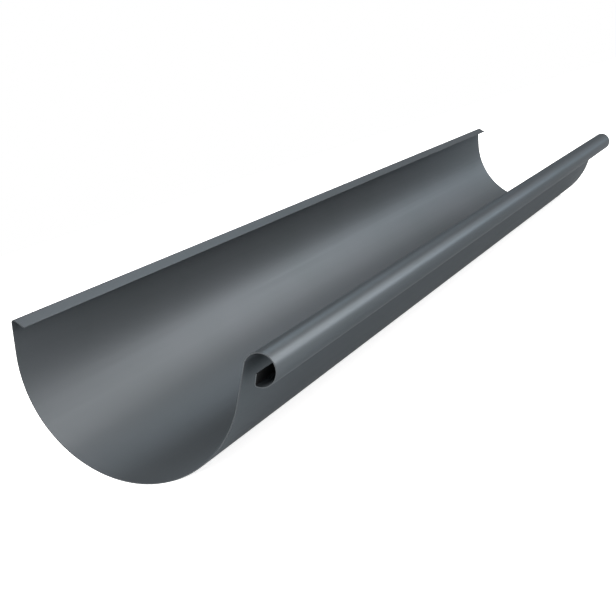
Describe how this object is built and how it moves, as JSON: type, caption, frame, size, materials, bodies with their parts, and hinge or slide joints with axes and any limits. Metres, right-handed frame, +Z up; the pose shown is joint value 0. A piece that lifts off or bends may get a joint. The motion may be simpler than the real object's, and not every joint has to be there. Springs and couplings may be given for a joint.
{
  "type": "gutter section",
  "caption": "Half-round steel eaves gutter length with a rolled front bead, a folded back edge and square-cut open ends.",
  "frame": {"origin": "centre of the gutter's bounding box in plan, on the floor that its round underside lies on", "axes": "+Y along the gutter, +X towards the front bead, +Z up as it lies at rest, rolled about 20 degrees from level"},
  "size_m": [0.1741, 1, 0.117],
  "materials": {
    "coated_steel": "anthracite grey coil coating, satin, on galvanised steel strip, with the cut ends touched up in matt grey lacquer"
  },
  "bodies": {
    "root": {"gutter_section": "coated_steel"}
  },
  "joints": []
}
